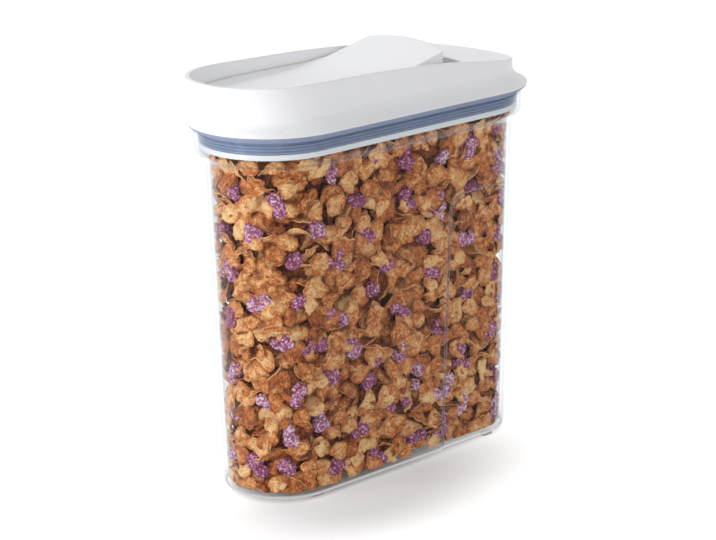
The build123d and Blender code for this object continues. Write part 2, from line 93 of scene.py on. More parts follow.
def blank_material(name: str) -> tuple[bpy.types.Material, bpy.types.NodeTree, bpy.types.Node]:
    """Make a material that holds only its output node.

    Args:
        name: Name of the material.

    Returns:
        The material, its node tree and its output node.
    """
    material = bpy.data.materials.new(name)
    material.use_nodes = True
    tree = material.node_tree
    tree.nodes.clear()
    return material, tree, add_node(tree, "ShaderNodeOutputMaterial")


def scaled_position(tree: bpy.types.NodeTree, per_metre: float) -> bpy.types.NodeSocket:
    """Give object coordinates scaled so that one unit is a chosen real length.

    Args:
        tree: Node tree that takes the nodes.
        per_metre: Units in one metre.

    Returns:
        The vector output to feed a texture.
    """
    place = add_node(tree, "ShaderNodeTexCoord")
    scale = (per_metre, per_metre, per_metre)
    return add_node(tree, "ShaderNodeMapping", {"Vector": place.outputs["Object"], "Scale": scale}).outputs[0]


@dataclass(frozen=True)
class MouldedClearSan:
    """Styrene-acrylonitrile, injection moulded and polished: a water-clear thin wall, glossy, with painted shade that
    greys it edge-on, painted dark lines and highlights at its corners and a painted glow band at its foot.
    """

    face_on: str = "#FCFDFD"
    edge_on_painted_shade: str = "#C4CCD2"
    painted_corner_shade: str = "#857E8E"
    painted_corner_mm: float = 1.6
    painted_ridge_highlight: str = "#E4D6E0"
    taper: float = 0.0219  # the wall's lean, which parts its outer face from its inner face
    outer_mm: float = 31.2
    floor_mm: float = 3.0
    painted_foot_shade_line: str = "#7E787E"
    painted_foot_glow_band: str = "#F6F4F5"
    foot_top_mm: float = 4.6  # painted glow band over a painted dark line at the foot, standing in for light piped down the wall
    reflect_min: float = 0.004
    roughness: float = 0.03
    wave_mm: float = 38.0
    wave_height_mm: float = 0.05

    def build(self) -> bpy.types.Material:
        """Make the material. Each face of the wall lets light straight on and reflects more at a low angle; the greying
        edge-on, the corner lines and highlights and the foot band are painted light and shade.
        """
        material, tree, output = blank_material("moulded_clear_san")
        wave = add_node(tree, "ShaderNodeTexNoise", {"Vector": scaled_position(tree, 1000 / self.wave_mm), "Scale": 1.0, "Detail": 1.0})
        bump = add_node(tree, "ShaderNodeBump", {"Height": wave.outputs["Fac"], "Strength": 0.4, "Distance": self.wave_height_mm * MM})
        angle = add_node(tree, "ShaderNodeLayerWeight", {"Blend": 0.5})
        steep = add_node(tree, "ShaderNodeMath", {0: angle.outputs["Facing"], 1: 5.0}, operation="POWER")
        mirror = add_node(
            tree,
            "ShaderNodeMath",
            {0: steep.outputs[0], 1: 1.0 - self.reflect_min, 2: self.reflect_min},
            operation="MULTIPLY_ADD",
        )
        # painted shade: the wall's tint turns grey edge-on, standing in for refraction of darker surroundings
        depth = add_node(tree, "ShaderNodeMath", {0: angle.outputs["Facing"], 1: 3.0}, operation="POWER")
        tint = add_node(
            tree,
            "ShaderNodeMix",
            {0: depth.outputs[0], 6: linear(self.face_on), 7: linear(self.edge_on_painted_shade)},
            data_type="RGBA",
        )
        # painted shade: dark lines along the wall's rounded corners and steps, standing in for the refraction there
        eased = add_node(tree, "ShaderNodeBevel", {"Radius": self.painted_corner_mm * MM}, samples=6)
        flat = add_node(tree, "ShaderNodeNewGeometry")
        agree = add_node(
            tree,
            "ShaderNodeVectorMath",
            {0: eased.outputs[0], 1: flat.outputs["Normal"]},
            operation="DOT_PRODUCT",
        )
        painted_corner_shade = add_node(tree, "ShaderNodeMapRange", {"Value": agree.outputs["Value"], "From Min": 0.99, "From Max": 0.93})
        place = add_node(tree, "ShaderNodeTexCoord")
        parts = add_node(tree, "ShaderNodeSeparateXYZ", {0: place.outputs["Object"]})
        width = add_node(tree, "ShaderNodeMath", {0: parts.outputs["Y"]}, operation="ABSOLUTE")
        bare = add_node(
            tree,
            "ShaderNodeMath",
            {0: parts.outputs["Z"], 1: -self.taper, 2: width.outputs[0]},
            operation="MULTIPLY_ADD",
        )
        outer = add_node(tree, "ShaderNodeMath", {0: bare.outputs[0], 1: self.outer_mm * MM}, operation="GREATER_THAN")
        foot = add_node(tree, "ShaderNodeMath", {0: parts.outputs["Z"], 1: self.floor_mm * MM}, operation="LESS_THAN")
        shown = add_node(tree, "ShaderNodeMath", {0: outer.outputs[0], 1: foot.outputs[0]}, operation="MAXIMUM")
        line = add_node(tree, "ShaderNodeMath", {0: painted_corner_shade.outputs[0], 1: shown.outputs[0]}, operation="MULTIPLY")
        lined = add_node(
            tree,
            "ShaderNodeMix",
            {0: line.outputs[0], 6: tint.outputs[2], 7: linear(self.painted_corner_shade)},
            data_type="RGBA",
        )
        passing = add_node(tree, "ShaderNodeBsdfTransparent", {"Color": lined.outputs[2]})
        gloss = add_node(
            tree,
            "ShaderNodeBsdfAnisotropic",
            {"Color": linear("#FFFFFF"), "Roughness": self.roughness, "Normal": bump.outputs["Normal"]},
        )
        wall = add_node(tree, "ShaderNodeMixShader", {0: mirror.outputs[0], 1: passing.outputs[0], 2: gloss.outputs[0]})
        # painted highlight: a pale core along the same corners glows as emission
        painted_ridge_highlight = add_node(tree, "ShaderNodeMapRange", {"Value": agree.outputs["Value"], "From Min": 0.9, "From Max": 0.8, "To Max": 0.75})
        glint = add_node(tree, "ShaderNodeMath", {0: painted_ridge_highlight.outputs[0], 1: shown.outputs[0]}, operation="MULTIPLY")
        pale = add_node(tree, "ShaderNodeEmission", {"Color": linear(self.painted_ridge_highlight), "Strength": 0.6})
        wall = add_node(tree, "ShaderNodeMixShader", {0: glint.outputs[0], 1: wall.outputs[0], 2: pale.outputs[0]})
        # painted glow band over a painted dark line near the foot, standing in for light piped down the wall
        level = add_node(tree, "ShaderNodeMapRange", {"Value": parts.outputs["Z"], "From Min": 0.0, "From Max": self.foot_top_mm * MM})
        band = add_node(tree, "ShaderNodeValToRGB", {0: level.outputs[0]})
        band.color_ramp.elements[0].position = 0.0
        band.color_ramp.elements[0].color = (0.5, 0.5, 0.5, 1.0)
        band.color_ramp.elements[1].position = 1.0
        band.color_ramp.elements[1].color = (0.0, 0.0, 0.0, 1.0)
        for position, share in ((0.3, 0.6), (0.45, 0.7), (0.75, 0.6)):
            band.color_ramp.elements.new(position).color = (share, share, share, 1.0)
        tone = add_node(tree, "ShaderNodeMapRange", {"Value": level.outputs[0], "From Min": 0.38, "From Max": 0.46})
        hue = add_node(
            tree,
            "ShaderNodeMix",
            {0: tone.outputs[0], 6: linear(self.painted_foot_shade_line), 7: linear(self.painted_foot_glow_band)},
            data_type="RGBA",
        )
        painted_foot_glow = add_node(tree, "ShaderNodeEmission", {"Color": hue.outputs[2], "Strength": 0.78})
        way = add_node(tree, "ShaderNodeSeparateXYZ", {0: flat.outputs["Normal"]})
        level_face = add_node(tree, "ShaderNodeMath", {0: way.outputs["Z"]}, operation="ABSOLUTE")
        upright = add_node(tree, "ShaderNodeMapRange", {"Value": level_face.outputs[0], "From Min": 0.99, "From Max": 0.9})
        share = add_node(tree, "ShaderNodeMath", {0: band.outputs["Color"], 1: upright.outputs[0]}, operation="MULTIPLY")
        wall = add_node(tree, "ShaderNodeMixShader", {0: share.outputs[0], 1: wall.outputs[0], 2: painted_foot_glow.outputs[0]})
        plain = add_node(tree, "ShaderNodeBsdfTransparent", {"Color": linear("#F4F5F6")})
        path = add_node(tree, "ShaderNodeLightPath")
        either = add_node(tree, "ShaderNodeMixShader", {0: path.outputs["Is Shadow Ray"], 1: wall.outputs[0], 2: plain.outputs[0]})
        tree.links.new(either.outputs[0], output.inputs["Surface"])
        return material


@dataclass(frozen=True)
class MouldedWhiteAbs:
    """White ABS from a fine-spark mould: soft satin gloss, faint grain and slight flow shading."""

    name: str = "moulded_white_abs"
    colour: str = "#F2F2F3"
    shade: str = "#EFEFF1"
    ior: float = 1.52
    roughness: float = 0.34
    grain_mm: float = 0.9  # real spark grain is near 0.1 mm, drawn coarser so that it shows
    grain_height_mm: float = 0.006
    edge_mm: float = 0.8

    def build(self) -> bpy.types.Material:
        """Make the material."""
        material, tree, output = blank_material(self.name)
        flow = add_node(tree, "ShaderNodeTexNoise", {"Vector": scaled_position(tree, 1000 / 30.0), "Scale": 1.0, "Detail": 2.0})
        shade = add_node(
            tree,
            "ShaderNodeMix",
            {0: flow.outputs["Fac"], 6: linear(self.colour), 7: linear(self.shade)},
            data_type="RGBA",
        )
        grain = add_node(tree, "ShaderNodeTexNoise", {"Vector": scaled_position(tree, 1000 / self.grain_mm), "Scale": 1.0, "Detail": 2.0})
        worn = add_node(
            tree,
            "ShaderNodeMapRange",
            {"Value": flow.outputs["Fac"], "To Min": self.roughness - 0.04, "To Max": self.roughness + 0.05},
        )
        edge = add_node(tree, "ShaderNodeBevel", {"Radius": self.edge_mm * MM}, samples=6)
        bump = add_node(
            tree,
            "ShaderNodeBump",
            {"Height": grain.outputs["Fac"], "Strength": 0.5, "Distance": self.grain_height_mm * MM, "Normal": edge.outputs[0]},
        )
        plastic = add_node(
            tree,
            "ShaderNodeBsdfPrincipled",
            {
                "Base Color": shade.outputs[2],
                "Roughness": worn.outputs[0],
                "IOR": self.ior,
                "Normal": bump.outputs["Normal"],
            },
        )
        tree.links.new(plastic.outputs[0], output.inputs["Surface"])
        return material


@dataclass(frozen=True)
class MouldedSilicone:
    """Blue-grey silicone rubber, compression moulded: matt, with a dusty skin."""

    colour: str = "#8290AE"
    dust: str = "#9AA5BD"
    roughness: float = 0.55
    dust_mm: float = 3.0

    def build(self) -> bpy.types.Material:
        """Make the material."""
        material, tree, output = blank_material("moulded_silicone")
        dust = add_node(tree, "ShaderNodeTexNoise", {"Vector": scaled_position(tree, 1000 / self.dust_mm), "Scale": 1.0, "Detail": 4.0})
        mix = add_node(tree, "ShaderNodeMix", {0: dust.outputs["Fac"], 6: linear(self.colour), 7: linear(self.dust)}, data_type="RGBA")
        bump = add_node(tree, "ShaderNodeBump", {"Height": dust.outputs["Fac"], "Strength": 0.3, "Distance": 0.02 * MM})
        rubber = add_node(
            tree,
            "ShaderNodeBsdfPrincipled",
            {"Base Color": mix.outputs[2], "Roughness": self.roughness, "IOR": 1.41, "Normal": bump.outputs["Normal"]},
        )
        tree.links.new(rubber.outputs[0], output.inputs["Surface"])
        return material


@dataclass(frozen=True)
class GroundStainlessSteel:
    """Centreless-ground stainless steel pin: bright metal with fine rings round it."""

    colour: str = "#C9CBCD"
    roughness: float = 0.28
    ring_mm: float = 0.25

    def build(self) -> bpy.types.Material:
        """Make the material."""
        material, tree, output = blank_material("ground_stainless_steel")
        place = add_node(tree, "ShaderNodeTexCoord")
        rings = add_node(tree, "ShaderNodeMapping", {"Vector": place.outputs["Object"], "Scale": (40.0, 1000 / self.ring_mm, 40.0)})
        noise = add_node(tree, "ShaderNodeTexNoise", {"Vector": rings.outputs[0], "Scale": 1.0, "Detail": 2.0})
        bump = add_node(tree, "ShaderNodeBump", {"Height": noise.outputs["Fac"], "Strength": 0.3, "Distance": 0.01 * MM})
        metal = add_node(
            tree,
            "ShaderNodeBsdfPrincipled",
            {"Base Color": linear(self.colour), "Metallic": 1.0, "Roughness": self.roughness, "Normal": bump.outputs["Normal"]},
        )
        tree.links.new(metal.outputs[0], output.inputs["Surface"])
        return material


@dataclass(frozen=True)
class ToastedBran:
    """Bran flakes, rolled thin and toasted: golden, darker towards their edges, partly from toasting and partly as
    painted shade between flakes, with a blistered porous face.
    """

    dark: str = "#64260E"
    mid: str = "#CF7532"
    pale: str = "#FFD292"
    pore_mm: float = 1.1
    blister_mm: float = 3.6

    def build(self) -> bpy.types.Material:
        """Make the material. Its attribute holds each flake's own tone, with painted shade towards the flake's edge, on
        the flakes behind and in the middle.
        """
        material, tree, output = blank_material("toasted_bran")
        tone_and_painted_shade = add_node(tree, "ShaderNodeAttribute", attribute_name="tone_and_painted_shade")
        pore = add_node(tree, "ShaderNodeTexNoise", {"Vector": scaled_position(tree, 1000 / self.pore_mm), "Scale": 1.0, "Detail": 3.0})
        blister = add_node(tree, "ShaderNodeTexNoise", {"Vector": scaled_position(tree, 1000 / self.blister_mm), "Scale": 1.0, "Detail": 2.0})
        spread = add_node(tree, "ShaderNodeMapRange", {"Value": pore.outputs["Fac"], "From Min": 0.35, "From Max": 0.65, "To Min": -0.18, "To Max": 0.18})
        patch = add_node(tree, "ShaderNodeMapRange", {"Value": blister.outputs["Fac"], "From Min": 0.35, "From Max": 0.65, "To Min": -0.15, "To Max": 0.15})
        first = add_node(tree, "ShaderNodeMath", {0: tone_and_painted_shade.outputs["Fac"], 1: spread.outputs[0]}, operation="ADD")
        total = add_node(tree, "ShaderNodeMath", {0: first.outputs[0], 1: patch.outputs[0]}, operation="ADD")
        ramp = add_node(tree, "ShaderNodeValToRGB", {0: total.outputs[0]})
        ramp.color_ramp.elements[0].color = linear(self.dark)
        ramp.color_ramp.elements[1].color = linear(self.pale)
        ramp.color_ramp.elements.new(0.5).color = linear(self.mid)
        height = add_node(tree, "ShaderNodeMath", {0: pore.outputs["Fac"], 1: blister.outputs["Fac"]}, operation="ADD")
        bump = add_node(tree, "ShaderNodeBump", {"Height": height.outputs[0], "Strength": 1.0, "Distance": 0.55 * MM})
        crust = add_node(
            tree,
            "ShaderNodeBsdfPrincipled",
            {"Base Color": ramp.outputs["Color"], "Roughness": 0.62, "IOR": 1.45, "Normal": bump.outputs["Normal"]},
        )
        tree.links.new(crust.outputs[0], output.inputs["Surface"])
        return material


@dataclass(frozen=True)
class FreezeDriedBerry:
    """Freeze-dried berry clusters: purple-pink drupelets with a pale sugary bloom, paler drupelet tops as painted
    highlight and darker seams as painted shade.
    """

    dark: str = "#8A3860"
    flesh: str = "#CC86A8"
    bloom: str = "#FAE6F0"
    drupelet_mm: float = 1.7

    def build(self) -> bpy.types.Material:
        """Make the material. Its attribute holds each cluster's own tone."""
        material, tree, output = blank_material("freeze_dried_berry")
        tone_and_painted_shade = add_node(tree, "ShaderNodeAttribute", attribute_name="tone_and_painted_shade")
        cell = add_node(tree, "ShaderNodeTexVoronoi", {"Vector": scaled_position(tree, 1000 / self.drupelet_mm), "Scale": 1.0})
        sugar = add_node(tree, "ShaderNodeTexNoise", {"Vector": scaled_position(tree, 1000 / 1.2), "Scale": 1.0, "Detail": 3.0})
        # painted highlight on each drupelet's top and painted shade in the seams between them, from the same cells as
        # the bump
        drupelet_height_and_painted_light = add_node(tree, "ShaderNodeMapRange", {"Value": cell.outputs["Distance"], "From Max": 0.75, "To Min": 1.0, "To Max": 0.0})
        dusty = add_node(tree, "ShaderNodeMapRange", {"Value": sugar.outputs["Fac"], "From Min": 0.35, "From Max": 0.65, "To Min": -0.4, "To Max": 0.4})
        first = add_node(tree, "ShaderNodeMath", {0: drupelet_height_and_painted_light.outputs[0], 1: dusty.outputs[0]}, operation="ADD")
        shift = add_node(tree, "ShaderNodeMapRange", {"Value": tone_and_painted_shade.outputs["Fac"], "To Min": -0.25, "To Max": 0.25})
        total = add_node(tree, "ShaderNodeMath", {0: first.outputs[0], 1: shift.outputs[0]}, operation="ADD")
        ramp = add_node(tree, "ShaderNodeValToRGB", {0: total.outputs[0]})
        ramp.color_ramp.elements[0].color = linear(self.dark)
        ramp.color_ramp.elements[1].color = linear(self.bloom)
        ramp.color_ramp.elements.new(0.5).color = linear(self.flesh)
        height = add_node(tree, "ShaderNodeMath", {0: drupelet_height_and_painted_light.outputs[0], 1: sugar.outputs["Fac"]}, operation="ADD")
        bump = add_node(tree, "ShaderNodeBump", {"Height": height.outputs[0], "Strength": 0.9, "Distance": 0.6 * MM})
        fruit = add_node(
            tree,
            "ShaderNodeBsdfPrincipled",
            {"Base Color": ramp.outputs["Color"], "Roughness": 0.6, "IOR": 1.45, "Normal": bump.outputs["Normal"]},
        )
        tree.links.new(fruit.outputs[0], output.inputs["Surface"])
        return material


class Lie(Enum):
    """How a flake lies against the clear wall: its tilt range in degrees."""

    FLAT = (0.0, 20.0)
    LEANING = (24.0, 55.0)
    ON_EDGE = (62.0, 88.0)


@dataclass
class MeshHeap:
    """Vertices, faces and a per-vertex shade gathered from many small shapes."""

    points: list[np.ndarray] = field(default_factory=list)
    faces: list[list[int]] = field(default_factory=list)
    shades: list[np.ndarray] = field(default_factory=list)
    count: int = 0

    def add(self, points: np.ndarray, faces: list[list[int]], shade: np.ndarray) -> None:
        """Add one shape.

        Args:
            points: Its vertices in metres, one row each.
            faces: Its faces as vertex numbers.
            shade: One shade for each vertex.
        """
        self.points.append(points)
        self.faces.extend([[index + self.count for index in face] for face in faces])
        self.shades.append(shade)
        self.count += len(points)

    def build(self, name: str, material: bpy.types.Material) -> bpy.types.Object:
        """Make one smooth-shaded object of everything gathered.

        Args:
            name: Name of the object and its mesh.
            material: Finish of the whole object.

        Returns:
            The object, linked into the scene.
        """
        mesh = bpy.data.meshes.new(name)
        mesh.from_pydata(np.vstack(self.points).tolist(), [], self.faces)
        mesh.polygons.foreach_set("use_smooth", [True] * len(mesh.polygons))
        layer = mesh.attributes.new("tone_and_painted_shade", "FLOAT", "POINT")
        layer.data.foreach_set("value", np.concatenate(self.shades).astype(np.float32))
        mesh.materials.append(material)
        mesh.update()
        thing = bpy.data.objects.new(name, mesh)
        bpy.context.scene.collection.objects.link(thing)
        return thing


@dataclass
class CerealFill:
    """The cereal that fills the clear body: flakes and berry clusters against the wall, and a middle painted dark as
    painted shade.
    """

    end_x: float = 62.75
    base_r: float = 31.0
    top_r: float = 35.0
    low_z: float = 3.5
    taper_top_z: float = 184.0
    fill_z: float = 192.6
    shoulder_top_z: float = 193.8
    shoulder_r: float = 40.5
    corner_r: float = 1.8
    grip_x: float = 26.2
    grip_lean: float = 0.030
    grip_top_z: float = 153.8
    grip_depth: float = 2.0
    spacing: float = 9.8
    berry_spacing: float = 21.0
    flake_min: float = 9.0
    flake_max: float = 18.5
    middle_inset: float = 11.0
    give: float = 0.5  # share of an overlap that moves the whole piece, the rest bends it
    seed: int = 7
    rng: np.random.Generator = field(init=False)

    def __post_init__(self) -> None:
        """Start the seeded random numbers."""
        self.rng = np.random.default_rng(self.seed)

    def wall_radius(self, z: np.ndarray) -> np.ndarray:
        """Give the inner wall's end radius at each height.

        Args:
            z: Heights in millimetres.

        Returns:
            Radii in millimetres.
        """
        share = np.clip((z - self.low_z) / (self.taper_top_z - self.low_z), 0, 1)
        rise = np.clip((z - self.taper_top_z) / (self.shoulder_top_z - self.taper_top_z), 0, 1)
        radius = self.base_r + (self.top_r - self.base_r) * share
        radius = radius + (self.shoulder_r - self.top_r) * rise**2 * (3 - 2 * rise)
        under = np.clip(self.low_z + self.corner_r - z, 0, self.corner_r)
        return radius - (self.corner_r - np.sqrt(np.maximum(self.corner_r**2 - under**2, 0)))

    def room(self, points: np.ndarray) -> np.ndarray:
        """Give how far each point lies inside the clear wall.

        Args:
            points: Points in millimetres.

        Returns:
            Distances in millimetres, negative outside.
        """
        x, y, z = points.T
        beyond = np.maximum(np.abs(x) - self.end_x, 0)
        radius = self.wall_radius(z)
        inside = radius - np.hypot(beyond, y)
        in_grip = (x > self.grip_x + self.grip_lean * z) & (z < self.grip_top_z)
        return np.where(in_grip, np.minimum(inside, radius - self.grip_depth - np.abs(y)), inside)

    def wall_point(self, share: float, z: float, depth: float) -> tuple[np.ndarray, np.ndarray]:
        """Find a point behind the wall and the direction inwards there.

        Args:
            share: Place round the plan, from 0 to 1.
            z: Height in millimetres.
            depth: Distance behind the wall in millimetres.

        Returns:
            The point and the unit normal that points inwards.
        """
        radius = float(self.wall_radius(np.array([z]))[0])
        straight, arc = 2 * self.end_x, math.pi * radius
        run = share * 2 * (straight + arc)
        if run < straight:
            centre, out = np.array([-self.end_x + run, 0.0]), np.array([0.0, -1.0])
        elif run < straight + arc:
            turn = -math.pi / 2 + (run - straight) / radius
            centre, out = np.array([self.end_x, 0.0]), np.array([math.cos(turn), math.sin(turn)])
        elif run < 2 * straight + arc:
            centre, out = np.array([self.end_x - (run - straight - arc), 0.0]), np.array([0.0, 1.0])
        else:
            turn = math.pi / 2 + (run - 2 * straight - arc) / radius
            centre, out = np.array([-self.end_x, 0.0]), np.array([math.cos(turn), math.sin(turn)])
        place = centre + out * (radius - depth)
        return np.array([place[0], place[1], z]), np.array([-out[0], -out[1], 0.0])

    def flake(self, length: float, width: float, rings: int, spokes: int, solid: bool) -> tuple[np.ndarray, list[list[int]], np.ndarray]:
        """Shape one toasted flake: an uneven oval, curled, blistered and thinner at its edge.

        Args:
            length: Longer size in millimetres.
            width: Shorter size in millimetres.
            rings: Rings of vertices from middle to edge.
            spokes: Vertices in a ring.
            solid: Whether it has a second face and an edge.

        Returns:
            Its vertices in millimetres, its faces and a shade offset for each vertex.
        """
        rng = self.rng
        angles = np.arange(spokes) * 2 * math.pi / spokes
        outline = 1 + 0.04 * rng.standard_normal(spokes)
        for wave, size in ((2, 0.1), (3, 0.1), (4, 0.07), (5, 0.06), (7, 0.05)):
            outline += size * rng.uniform(-1, 1) * np.cos(wave * angles + rng.uniform(0, 6.3))
        shares = np.linspace(0, 1, rings + 1)[1:] ** 0.8
        grid = np.array([[0.0, 0.0]] + [[r * outline[k] * math.cos(a), r * outline[k] * math.sin(a)] for r in shares for k, a in enumerate(angles)])
        x, y = grid[:, 0] * length / 2, grid[:, 1] * width / 2
        curl = rng.uniform(0.04, 0.3) * rng.choice([-1, 1])
        z = curl * length * grid[:, 0] ** 2 + rng.uniform(-0.1, 0.3) * width * grid[:, 1] ** 2
        z += rng.uniform(-0.2, 0.2) * length * grid[:, 0] * grid[:, 1]
        for _ in range(5):
            pitch, turn, phase = rng.uniform(2.8, 6.5), rng.uniform(0, 6.3), rng.uniform(0, 6.3)
            z += 0.3 * np.sin((x * math.cos(turn) + y * math.sin(turn)) * 2 * math.pi / pitch + phase)
        reach = np.concatenate([[0.0], np.repeat(shares, spokes)])
        points = np.stack([x, y, z], axis=1)
        faces = [[0, 1 + k, 1 + (k + 1) % spokes] for k in range(spokes)]
        for ring in range(rings - 1):
            inner, outer = 1 + ring * spokes, 1 + (ring + 1) * spokes
            faces += [[inner + k, outer + k, outer + (k + 1) % spokes, inner + (k + 1) % spokes] for k in range(spokes)]
        # darker towards the flake's edge: partly toasting and partly painted shade of the gaps between flakes; the rim
        # faces get a lighter offset
        shade = 0.06 - 0.3 * reach**5 + 0.09 * rng.standard_normal(len(points))
        if solid:
            size = len(points)
            thick = np.where(reach > 0.9, 0.5, 0.9)
            under = points - np.stack([np.zeros(size), np.zeros(size), thick], axis=1)
            edge = np.vstack([points[-spokes:], under[-spokes:]])
            first = 2 * size
            rim = [[first + k, first + spokes + k, first + spokes + (k + 1) % spokes, first + (k + 1) % spokes] for k in range(spokes)]
            faces = faces + [[index + size for index in reversed(face)] for face in faces] + rim
            points = np.vstack([points, under, edge])
            shade = np.concatenate([shade, shade, np.full(2 * spokes, 0.22)])
        return points, faces, shade

    def berry(self, size: float) -> tuple[np.ndarray, list[list[int]]]:
        """Shape one berry cluster: a lumpy ball of drupelets.

        Args:
            size: Mean diameter in millimetres.

        Returns:
            Its vertices in millimetres and its faces.
        """
        ball = bmesh.new()
        bmesh.ops.create_icosphere(ball, subdivisions=3, radius=1.0)
        ball.verts.ensure_lookup_table()
        unit = np.array([v.co[:] for v in ball.verts])
        faces = [[v.index for v in f.verts] for f in ball.faces]
        ball.free()
        seeds = self.rng.standard_normal((26, 3))
        seeds /= np.linalg.norm(seeds, axis=1)[:, None]
        nearest = (unit @ seeds.T).max(axis=1)
        lump = np.sqrt(np.maximum(1 - ((1 - nearest) / 0.11), 0))
        radius = size / 2 * (0.8 + 0.26 * lump)
        stretch = self.rng.uniform(0.75, 1.25, 3)
        return unit * radius[:, None] * stretch, faces

    def turned(self, points: np.ndarray, normal: np.ndarray, tilt: float) -> np.ndarray:
        """Turn a shape so that its flat side faces a direction, leaned over by a tilt and spun at random.

        Args:
            points: Vertices in millimetres.
            normal: Unit direction that the flat side faces.
            tilt: Lean in degrees, mostly about the horizontal.

        Returns:
            The turned vertices.
        """
        spin = self.rng.uniform(0, 2 * math.pi)
        side = np.cross([0.0, 0.0, 1.0], normal)
        side /= np.linalg.norm(side)
        rise = np.cross(normal, side)
        lean_about = side * math.cos(0.5 * self.rng.standard_normal()) + rise * math.sin(0.5 * self.rng.standard_normal())
        lean_about /= np.linalg.norm(lean_about)
        along, across = side * math.cos(spin) + rise * math.sin(spin), rise * math.cos(spin) - side * math.sin(spin)
        axes = np.stack([along, across, normal])
        angle = math.radians(tilt) * self.rng.choice([-1, 1])
        c, s = math.cos(angle), math.sin(angle)
        skew = np.array([[0, -lean_about[2], lean_about[1]], [lean_about[2], 0, -lean_about[0]], [-lean_about[1], lean_about[0], 0]])
        lean = np.eye(3) * c + skew * s + np.outer(lean_about, lean_about) * (1 - c)
        return points @ axes @ lean.T

    def settled(self, points: np.ndarray, inwards: np.ndarray, clearance: float = 0.2) -> np.ndarray:
        """Press a shape to the wall and the floor: it moves part of the way and gives for the rest.

        Args:
            points: Vertices in millimetres.
            inwards: Unit direction away from the wall.
            clearance: Least distance from the wall in millimetres.

        Returns:
            The moved vertices.
        """
        low = self.low_z + clearance - points[:, 2].min()
        high = points[:, 2].max() - self.fill_z
        lift = self.give * low if low > 0 else -max(high, 0)
        points = points + np.array([0.0, 0.0, lift])
        points[:, 2] = np.maximum(points[:, 2], self.low_z + clearance + 0.1 * points[:, 2] / self.fill_z)
        lack = clearance - float(self.room(points).min())
        points = points + inwards * self.give * max(lack, 0)
        for _ in range(3):
            points = points + inwards * np.maximum(clearance - self.room(points), 0)[:, None]
        return points

    def berry_places(self) -> list[tuple[float, float]]:
        """Choose where clusters show through the wall, as plan share and height."""
        places: list[tuple[float, float]] = []
        perimeter = 2 * (2 * self.end_x + math.pi * 33.0)
        for _ in range(6000):
            share, z = self.rng.uniform(0, 1), self.rng.uniform(10, self.fill_z - 7)
            near = [min(abs(share - s), 1 - abs(share - s)) * perimeter for s, _ in places]
            if all(math.hypot(gap, z - height) > self.berry_spacing for gap, (_, height) in zip(near, places)):
                places.append((share, z))
        return places

    def wall_layer(
        self,
        heap: MeshHeap,
        depth: float,
        spacing: float,
        scale: float,
        solid: bool,
        keep_off: list[tuple[float, float]],
        only: Lie | None = None,
    ) -> int:
        """Lay flakes behind the wall on a jittered grid.

        Args:
            heap: Gathers the flakes.
            depth: Distance of their middles behind the wall in millimetres.
            spacing: Pitch of the grid in millimetres.
            scale: Factor on the flakes' sizes.
            solid: Whether the flakes have two faces and an edge; the thin ones are also painted darker, as painted
                shade deep in the fill.
            keep_off: Places of clusters that no flake may cover.
            only: The one way that the flakes lie, or nothing for a mixture.

        Returns:
            The number of flakes laid.
        """
        rng = self.rng
        perimeter = 2 * (2 * self.end_x + math.pi * 33.0)
        columns, rows = int(perimeter / spacing), int((self.fill_z - self.low_z) / spacing)
        laid = 0
        for row in range(rows + 1):
            for column in range(columns):
                share = ((column + 0.5 * (row % 2) + rng.uniform(-0.42, 0.42)) / columns) % 1.0
                z = self.low_z + 1 + (row + rng.uniform(-0.42, 0.42)) * spacing
                z = min(max(z, self.low_z + 1.5), self.fill_z - 3)
                gaps = [math.hypot(min(abs(share - s), 1 - abs(share - s)) * perimeter, z - height) for s, height in keep_off]
                if gaps and min(gaps) < 5.2:
                    continue
                lie = only or (rng.choice(list(Lie), p=[0.4, 0.3, 0.3]) if solid else Lie.FLAT)
                length = scale * rng.triangular(self.flake_min, 14.0, self.flake_max)
                width = length * rng.uniform(0.55, 0.95)
                points, faces, shade = self.flake(length, width, 4 if solid else 3, 18 if solid else 10, solid)
                place, inwards = self.wall_point(share, z, depth + rng.uniform(0, 0.8 if only else 3.0))
                tilt = rng.uniform(*lie.value)
                moved = self.settled(self.turned(points, inwards, tilt) + place, inwards)
                # painted shade: thin flakes behind are painted darker because they lie deeper in the fill
                tone = np.clip(rng.normal(0.6, 0.16) - (0.0 if solid else 0.36) + shade, 0, 1)
                heap.add(moved * MM, faces, tone)
                laid += 1
        return laid

    def top_layer(self, heap: MeshHeap) -> int:
        """Lay flakes over the top of the fill.

        Args:
            heap: Gathers the flakes.

        Returns:
            The number of flakes laid.
        """
        rng = self.rng
        laid = 0
        for x in np.arange(-88, 90, 9.0):
            for y in np.arange(-28, 30, 8.0):
                place = np.array([x + rng.uniform(-3, 3), y + rng.uniform(-3, 3), self.fill_z - rng.uniform(2, 6)])
                if self.room(place[None])[0] < 4:
                    continue
                length = rng.triangular(self.flake_min, 14.0, self.flake_max)
                points, faces, shade = self.flake(length, length * rng.uniform(0.55, 0.95), 3, 13, True)
                lean = np.array([rng.normal(0, 0.3), rng.normal(0, 0.3), 1.0])
                lean /= np.linalg.norm(lean)
                moved = self.turned(points, lean, rng.uniform(0, 15)) + place
                towards = np.array([-np.sign(place[0]) * 0.3, -np.sign(place[1]), 0.0])
                moved = self.settled(moved, towards / np.linalg.norm(towards))
                heap.add(moved * MM, faces, np.clip(rng.normal(0.55, 0.15) + shade, 0, 1))
                laid += 1
        return laid

